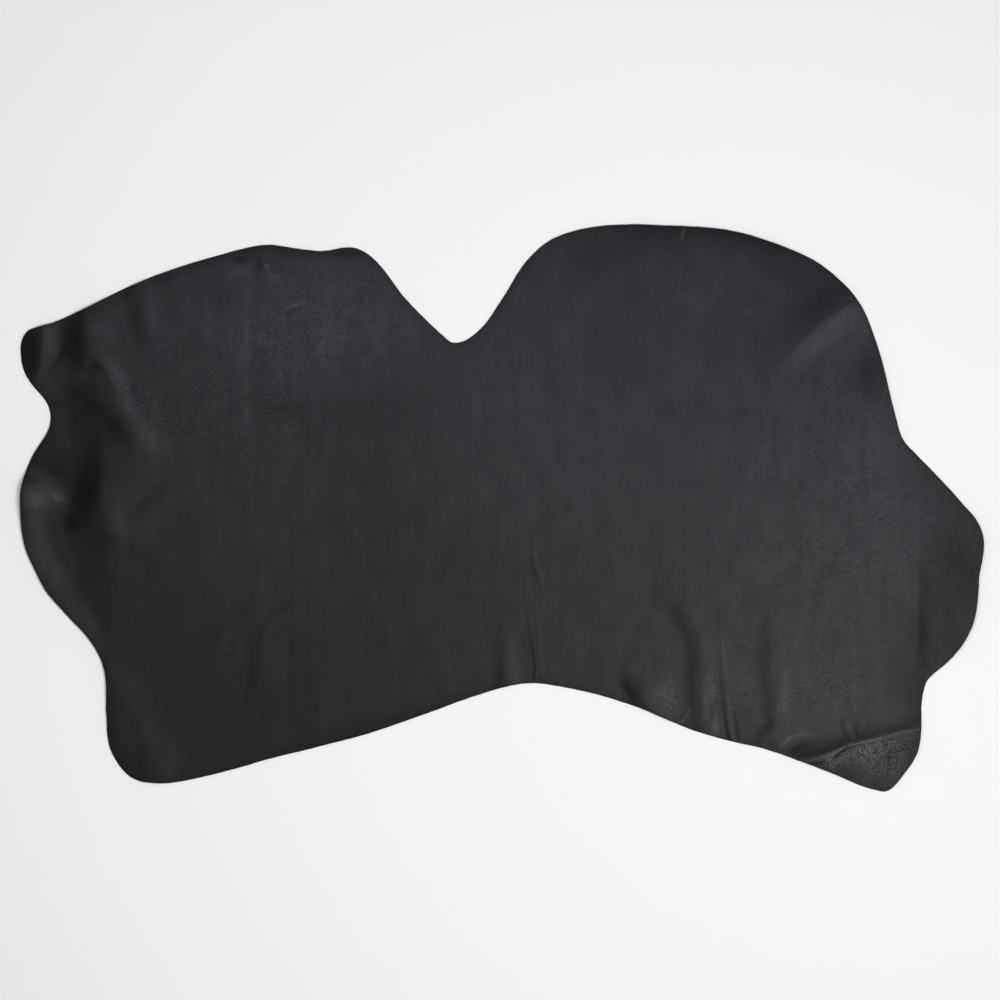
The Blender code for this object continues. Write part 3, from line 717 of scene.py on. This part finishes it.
class Net:
    """A node tree that is being wired up."""

    def __init__(self, tree):
        self.tree = tree

    def node(self, kind, settings=None, inputs=None, output=0):
        """Adds a node with its settings, then its values and links, and gives one output."""
        made = self.tree.nodes.new(kind)
        for name, value in (settings or {}).items():
            if name == "stops":
                self.set_stops(made.color_ramp, value)
            else:
                setattr(made, name, value)
        self.feed(made, inputs or {})
        return Wire(self, made.outputs[output])

    def feed(self, made, inputs):
        """Links wires to a node's inputs and sets the others to their values."""
        for name, value in inputs.items():
            if isinstance(value, Wire):
                self.tree.links.new(value.socket, made.inputs[name])
            else:
                made.inputs[name].default_value = value

    def noise(self, place, inputs):
        """Noise of size 1 unless the inputs say otherwise."""
        return self.node("ShaderNodeTexNoise", None, {"Vector": place, "Scale": 1.0, **inputs})

    def blend(self, share, first, second):
        """A colour between two given as red, green and blue; 6 and 7 are a Mix node's colours."""
        return self.node("ShaderNodeMix", {"data_type": "RGBA", "clamp_factor": True},
                         {0: share, 6: (*first, 1.0), 7: (*second, 1.0)}, output=2)

    @staticmethod
    def set_stops(ramp, stops):
        while len(ramp.elements) < len(stops):
            ramp.elements.new(1.0)
        for element, (position, colour) in zip(ramp.elements, stops):
            element.position = position
            element.color = (*colour, 1.0)


RIPPLE_STRETCH = 2.5         # ripples are this much longer along Y than along X
SWELL_SEED = 7               # added to the seed, so that swells differ from ripples


def relief_tree():
    """Geometry nodes that ripple the grain side of a sheet and give each side its material."""
    tree = bpy.data.node_groups.new("leather relief", "GeometryNodeTree")
    tree.is_modifier = True
    sockets = (
        ("Geometry", "NodeSocketGeometry"), ("Ripple height", "NodeSocketFloat"),
        ("Ripple length", "NodeSocketFloat"), ("Swell height", "NodeSocketFloat"),
        ("Swell length", "NodeSocketFloat"), ("Seed", "NodeSocketFloat"),
        ("Grain side", "NodeSocketMaterial"), ("Cut edge", "NodeSocketMaterial"),
        ("Flesh side", "NodeSocketMaterial"),
    )
    for name, kind in sockets:
        tree.interface.new_socket(name, in_out="INPUT", socket_type=kind)
    tree.interface.new_socket("Geometry", in_out="OUTPUT", socket_type="NodeSocketGeometry")
    net = Net(tree)
    entry = tree.nodes.new("NodeGroupInput")
    given = {name: Wire(net, entry.outputs[name]) for name, _ in sockets}
    place = net.node("GeometryNodeInputPosition")
    relief = net.node("GeometryNodeInputNamedAttribute", {"data_type": "FLOAT"},
                      {"Name": "relief"})
    drawn_out = net.node("ShaderNodeVectorMath", {"operation": "MULTIPLY"},
                         {0: place, 1: (1.0, 1 / RIPPLE_STRETCH, 1.0)})

    def waves(where, length, seed):
        return net.node("ShaderNodeTexNoise", {"noise_dimensions": "4D"},
                        {"Vector": where, "W": seed, "Scale": 1 / length, "Detail": 1.0}) - 0.5

    ripples = waves(drawn_out, given["Ripple length"], given["Seed"])
    swells = waves(place, given["Swell length"], given["Seed"] + SWELL_SEED)
    rise = relief * (ripples * given["Ripple height"] + swells * given["Swell height"])
    offset = net.node("ShaderNodeCombineXYZ", None, {"Z": rise})
    sheet = net.node("GeometryNodeSetPosition", None,
                     {"Geometry": given["Geometry"], "Offset": offset})
    sheet = net.node("GeometryNodeRealizeInstances", None, {"Geometry": sheet})
    side = net.node("GeometryNodeInputNamedAttribute", {"data_type": "INT"}, {"Name": "side"})
    for number, name in ((GRAIN_SIDE, "Grain side"), (CUT_EDGE, "Cut edge"),
                         (FLESH_SIDE, "Flesh side")):
        # 2 and 3 are the Compare node's whole numbers.
        chosen = net.node("FunctionNodeCompare", {"data_type": "INT", "operation": "EQUAL"},
                          {2: side, 3: number})
        sheet = net.node("GeometryNodeSetMaterial", None,
                         {"Geometry": sheet, "Selection": chosen, "Material": given[name]})
    net.feed(tree.nodes.new("NodeGroupOutput"), {"Geometry": sheet})
    return tree


# ==== materials =============================================================================
# What makes the finish uneven: how much of it, its size along X and across it, and its detail.
Unevenness = namedtuple("Unevenness", "name share along across detail")
UNEVEN_FINISH = (
    Unevenness("clouds", 0.70, 0.030, 0.055, 2.0),
    Unevenness("streaks", 0.35, 0.009, 0.160, 2.0),
    Unevenness("mottle", 0.35, 0.010, 0.012, 3.0),
)
GLOSS = 0.09                 # of the pigment under the finish
GLOSS_TINT = (0.90, 0.93, 1.0, 1.0)
PEBBLES = 1.6                # how far slack leather stands up in pebbles
PEBBLE_LEVEL = 0.3           # level of the leather, as a share of a pebble's height
PEBBLE_STRETCH = 1.15        # pebbles are this much longer across than along X
WRINKLE_SIZE = (2.5, 1.4)    # along X and across it, in pebbles
WRINKLES = 1.5               # how far leather stands up in fine wrinkles
WRINKLES_LOST = 0.7          # and how much less where it is quite slack
BLOTCH_SIZE = 0.012
BLOTCHES = 3.0               # how much the dye is thinner in blotches
DYE_DEPTH = 0.7              # how much of that the dye hides
TAILWARD_TINT = 0.5           # how much bluer the pigment is per metre towards the tail
NOTCHWARD_TINT = 3.0          # and towards the notch
SHADE_GREYING = 1.2            # how much greyer the pigment is under painted shade, and bluer under painted highlights
FIBRE = 0.0006               # size of the cut edge's fibres
FIBRE_DEPTH = 0.0002
NAP = 0.0009                 # size of the suede's tufts
NAP_DEPTH = 0.0003
SUEDE_CLOUDS = 30.0          # per metre


def discard(kept, name):
    """Removes what an earlier run left under this name."""
    old = kept.get(name)
    if old:
        kept.remove(old)


def new_material(name):
    """A material with one Principled shader; gives its net and the shader node."""
    discard(bpy.data.materials, name)
    material = bpy.data.materials.new(name)
    material.use_nodes = True
    return material, Net(material.node_tree), material.node_tree.nodes["Principled BSDF"]


def stretched(net, place, along, across):
    """Object coordinates in units of a length along X and another across it."""
    return net.node("ShaderNodeVectorMath", {"operation": "MULTIPLY"},
                    {0: place, 1: (1 / along, 1 / across, 1 / across)})


def grain_leather(looks):
    """Pigmented black grain side: pebbles under a thin coat whose weight carries painted
    highlights and painted shade, darker along the cut edge.
    """
    material, net, shader = new_material("black_grain_leather")
    place = net.node("ShaderNodeTexCoord", output="Object")
    slack = net.node("ShaderNodeAttribute", {"attribute_name": "slack"}, output="Fac")
    sheen = net.node("ShaderNodeAttribute", {"attribute_name": "sheen"}, output="Fac")
    size = looks.pebble_size

    def noise(along, across, detail):
        return net.noise(stretched(net, place, along, across), {"Detail": detail})

    pebbles = net.node("ShaderNodeTexVoronoi", None,
                       {"Vector": stretched(net, place, size, PEBBLE_STRETCH * size),
                        "Scale": 1.0})
    wrinkles = noise(WRINKLE_SIZE[0] * size, WRINKLE_SIZE[1] * size, 1.0) - 0.5
    domes = 1 - pebbles
    # Tight leather is smooth: pebbles and wrinkles stand out only as far as it is slack.
    crowns = (PEBBLES * (domes * domes - PEBBLE_LEVEL) * slack
              + (WRINKLES - WRINKLES_LOST * slack) * wrinkles) * slack
    bump = net.node("ShaderNodeBump", None,
                    {"Strength": 1.0, "Distance": looks.pebble_depth, "Height": crowns})
    uneven = sum(kind.share * (noise(kind.along, kind.across, kind.detail) - 0.5)
                 for kind in UNEVEN_FINISH)
    blotches = noise(BLOTCH_SIZE, BLOTCH_SIZE, 2.0)
    tailward, notchward = (net.node("ShaderNodeSeparateXYZ", None, {0: place}, output=axis)
                           for axis in "XY")
    # The pigment is greyer in blotches and away from the tail and the notch, greyer still under
    # painted shade and bluer under painted highlights.
    fading_and_shade = (BLOTCHES * blotches - DYE_DEPTH - TAILWARD_TINT * tailward
              - NOTCHWARD_TINT * notchward + SHADE_GREYING * (1 - sheen))
    polish = 1 + uneven + looks.pebble_contrast * crowns
    net.feed(shader, {
        "Base Color": net.blend(fading_and_shade, looks.colour, looks.faded_and_shade_colour),
        # The coat's weight carries the painted highlights and painted shade.
        "Coat Weight": looks.finish * sheen * polish, "Coat Roughness": looks.roughness,
        "Roughness": looks.roughness, "Specular IOR Level": GLOSS, "Specular Tint": GLOSS_TINT,
        "Normal": bump,
    })
    return material


def cut_leather(looks):
    """The cut edge: dyed fibres, rough and a little paler than the grain."""
    material, net, shader = new_material("cut_leather_edge")
    place = net.node("ShaderNodeTexCoord", output="Object")
    fibres = net.noise(place, {"Scale": 1 / FIBRE, "Detail": 3.0})
    bump = net.node("ShaderNodeBump", None, {"Distance": FIBRE_DEPTH, "Height": fibres})
    net.feed(shader, {"Base Color": net.blend(fibres, looks.colour, looks.edge_colour),
                      "Roughness": 0.85, "Normal": bump})
    return material


def flesh_leather(looks):
    """The flesh side: a short suede nap, dyed through."""
    material, net, shader = new_material("suede_flesh_side")
    place = net.node("ShaderNodeTexCoord", output="Object")
    nap = net.noise(place, {"Scale": 1 / NAP, "Detail": 4.0})
    cloud = net.noise(place, {"Scale": SUEDE_CLOUDS, "Detail": 3.0})
    bump = net.node("ShaderNodeBump", None, {"Distance": NAP_DEPTH, "Height": nap})
    colour = net.blend(0.5 * nap + 0.5 * cloud, looks.edge_colour, looks.flesh_colour)
    net.feed(shader, {"Base Color": colour, "Roughness": 0.95, "Sheen Weight": 0.3,
                      "Normal": bump})
    return material


# ==== properties ============================================================================
class HideSizes(bpy.types.PropertyGroup):
    """Sizes of the hide that a user may change; its outline comes from the frame."""

    thickness: FloatProperty(name="Thickness", description="Of the leather", default=0.0014,
        min=0.0005, max=0.004, unit="LENGTH", precision=4)
    ripple_height: FloatProperty(name="Ripple height", description="Of the slack grain side",
        default=0.0011, min=0, unit="LENGTH", precision=5)
    ripple_length: FloatProperty(name="Ripple length", description="From ripple to ripple",
        default=0.020, min=0.005, unit="LENGTH", precision=4)
    swell_height: FloatProperty(name="Swell height", description="Of the hide's slow unevenness",
        default=0.0034, min=0, unit="LENGTH", precision=5)
    swell_length: FloatProperty(name="Swell length", description="From swell to swell",
        default=0.06, min=0.01, unit="LENGTH", precision=4)
    seed: IntProperty(name="Seed", description="Picks another set of ripples", default=4, min=0)


class HideLooks(bpy.types.PropertyGroup):
    """Colours and finish of the leather."""

    colour: FloatVectorProperty(name="Grain colour", description="Pigment of the grain side",
        default=(0.0034, 0.0037, 0.0053), subtype="COLOR", min=0, max=1)
    # Also the pigment's colour under painted shade.
    faded_and_shade_colour: FloatVectorProperty(name="Faded colour", description="Where the dye is thin",
        default=(0.0040, 0.0040, 0.0040), subtype="COLOR", min=0, max=1)
    edge_colour: FloatVectorProperty(name="Edge colour", description="Dyed fibres of the cut",
        default=(0.020, 0.020, 0.022), subtype="COLOR", min=0, max=1)
    flesh_colour: FloatVectorProperty(name="Flesh colour", description="Suede of the underside",
        default=(0.035, 0.034, 0.036), subtype="COLOR", min=0, max=1)
    roughness: FloatProperty(name="Roughness", description="Of the finish", default=0.45, min=0,
        max=1, subtype="FACTOR")
    finish: FloatProperty(name="Finish", description="Weight of the clear finish", default=0.23,
        min=0, max=1, subtype="FACTOR")
    pebble_size: FloatProperty(name="Pebble size", description="Of the grain", default=0.0019,
        min=0.0005, unit="LENGTH", precision=4)
    pebble_depth: FloatProperty(name="Pebble depth", description="Of the creases between pebbles",
        default=0.0006, min=0, unit="LENGTH", precision=6)
    pebble_contrast: FloatProperty(name="Pebble contrast", description="Polish of the crowns",
        default=2.6, min=0)


class StageSetup(bpy.types.PropertyGroup):
    """The floor, the lights and the camera."""

    floor_colour: FloatVectorProperty(name="Floor colour", description="Of the plain floor",
        default=(0.944, 0.911, 0.885), subtype="COLOR", min=0, max=1)
    view_width: FloatProperty(name="View width", description="What the camera sees across",
        default=1.4538, min=0.1, unit="LENGTH")
    lens: FloatProperty(name="Lens", description="Focal length", default=200, min=10,
        unit="CAMERA")


# ==== operators =============================================================================
def linked(name, data):
    """A new object in the scene, in the place of one that an earlier run left."""
    discard(bpy.data.objects, name)
    made = bpy.data.objects.new(name, data)
    bpy.context.scene.collection.objects.link(made)
    return made


class LEATHER_HIDE_OT_build(bpy.types.Operator):
    """Build the hide: the folded sheet, its relief and its three finishes"""

    bl_idname = "leather_hide.build"
    bl_label = "Build the hide"

    def execute(self, context):
        sizes, looks = context.scene.hide_sizes, context.scene.hide_looks
        mesh, area = sheet_mesh(sizes)
        grain = grain_leather(looks)
        mesh.materials.append(grain)
        sheet = linked("hide_being_built", mesh)
        modifier = sheet.modifiers.new("leather relief", "NODES")
        tree = relief_tree()
        modifier.node_group = tree
        values = {
            "Ripple height": sizes.ripple_height, "Ripple length": sizes.ripple_length,
            "Swell height": sizes.swell_height, "Swell length": sizes.swell_length,
            "Seed": float(sizes.seed), "Grain side": grain,
            "Cut edge": cut_leather(looks), "Flesh side": flesh_leather(looks),
        }
        for socket in tree.interface.items_tree:
            if socket.in_out == "INPUT" and socket.name in values:
                modifier[socket.identifier] = values[socket.name]
        finished = bpy.data.meshes.new_from_object(
            sheet.evaluated_get(context.evaluated_depsgraph_get()))
        finished.name = "leather_hide"
        bpy.data.objects.remove(sheet)
        bpy.data.node_groups.remove(tree)
        hide = linked("leather_hide", finished)
        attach(hide, "root")
        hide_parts("hide")
        return {"FINISHED"}


# Square soft panels: degrees from +X, degrees down from straight above, and watts.
Panel = namedtuple("Panel", "name turn tilt power")
LIGHTS = (
    Panel("light_right", -20, 22, 60),
    Panel("light_behind", 115, 22, 34),
    Panel("light_front", 295, 22, 18),
    Panel("light_left", 205, 42, 9),
)
PANEL_SIZE = 1.6
PANEL_DISTANCE = 3.4         # from the middle of the hide
DAYLIGHT = (0.93, 0.968, 1.0)
CAMERA_OFFSET = (-0.0029, 0.0116)    # of the camera from the middle of the hide
FLOOR_SIZE = 60.0
FLOOR_DROP = 0.0002          # keeps the floor just clear of the hide's underside
SENSOR = 36.0                # millimetres


class LEATHER_HIDE_OT_stage(bpy.types.Operator):
    """Build the stage: a plain pale floor, soft lights and the camera straight above"""

    bl_idname = "leather_hide.stage"
    bl_label = "Build the stage"

    def execute(self, context):
        setup = context.scene.hide_stage
        self.add_floor(setup)
        for panel in LIGHTS:
            self.add_panel(panel)
        self.add_sky(context.scene)
        self.add_camera(context.scene, setup)
        return {"FINISHED"}

    @staticmethod
    def add_floor(setup):
        half = FLOOR_SIZE / 2
        mesh = bpy.data.meshes.new("floor")
        corners = [(x, y, -FLOOR_DROP) for x, y in ((-half, -half), (half, -half),
                                                    (half, half), (-half, half))]
        mesh.from_pydata(corners, [], [(0, 1, 2, 3)])
        material, net, shader = new_material("pale_floor")
        net.feed(shader, {"Base Color": (*setup.floor_colour, 1.0), "Roughness": 0.9,
                          "Specular IOR Level": 0.0})
        mesh.materials.append(material)
        linked("floor", mesh)

    @staticmethod
    def add_panel(panel):
        light = bpy.data.lights.new(panel.name, "AREA")
        light.shape = "SQUARE"
        light.size = PANEL_SIZE
        light.energy = panel.power
        light.color = DAYLIGHT
        turn, tilt = math.radians(panel.turn), math.radians(panel.tilt)
        aim = Vector((math.cos(turn) * math.sin(tilt), math.sin(turn) * math.sin(tilt),
                      math.cos(tilt)))
        lamp = linked(panel.name, light)
        lamp.location = aim * PANEL_DISTANCE
        lamp.rotation_euler = aim.to_track_quat("Z", "Y").to_euler()
        lamp.visible_camera = False

    @staticmethod
    def add_sky(scene):
        world = bpy.data.worlds.new("studio")
        world.use_nodes = True
        net = Net(world.node_tree)
        direction = net.node("ShaderNodeTexCoord", output="Generated")
        up = net.node("ShaderNodeSeparateXYZ", None, {0: direction}, output="Z")
        sky = net.node("ShaderNodeValToRGB",
                       {"stops": ((0.0, (0.85, 0.85, 0.85)), (0.2, (0.80, 0.80, 0.80)),
                                  (0.45, (0.05, 0.05, 0.05)))}, {"Fac": up})
        net.feed(world.node_tree.nodes["Background"], {"Color": sky, "Strength": 1.0})
        scene.world = world

    @staticmethod
    def add_camera(scene, setup):
        camera = bpy.data.cameras.new("camera")
        camera.sensor_width = SENSOR
        camera.lens = setup.lens
        camera.clip_end = 100.0
        above = linked("camera", camera)
        above.location = (*CAMERA_OFFSET, setup.view_width * setup.lens / SENSOR)
        scene.camera = above
        scene.view_settings.view_transform = "Standard"


class LEATHER_HIDE_PT_panel(bpy.types.Panel):
    """Lists the hide's operators and their settings"""

    bl_idname = "LEATHER_HIDE_PT_panel"
    bl_label = "Leather hide"
    bl_space_type = "VIEW_3D"
    bl_region_type = "UI"
    bl_category = "Leather hide"

    def draw(self, context):
        for group, operator in ((context.scene.hide_sizes, None),
                                (context.scene.hide_looks, LEATHER_HIDE_OT_build),
                                (context.scene.hide_stage, LEATHER_HIDE_OT_stage)):
            column = self.layout.column()
            for name in group.__annotations__:
                column.prop(group, name)
            if operator:
                column.operator(operator.bl_idname)


CLASSES = (HideSizes, HideLooks, StageSetup, LEATHER_HIDE_OT_build, LEATHER_HIDE_OT_stage,
           LEATHER_HIDE_PT_panel)


def register():
    for made in CLASSES:
        bpy.utils.register_class(made)
    bpy.types.Scene.hide_sizes = PointerProperty(type=HideSizes)
    bpy.types.Scene.hide_looks = PointerProperty(type=HideLooks)
    bpy.types.Scene.hide_stage = PointerProperty(type=StageSetup)


def unregister():
    del bpy.types.Scene.hide_stage
    del bpy.types.Scene.hide_looks
    del bpy.types.Scene.hide_sizes
    for made in reversed(CLASSES):
        bpy.utils.unregister_class(made)


def main():
    register()
    bpy.ops.leather_hide.build()
    bpy.ops.leather_hide.stage()


if __name__ == "__main__":
    main()
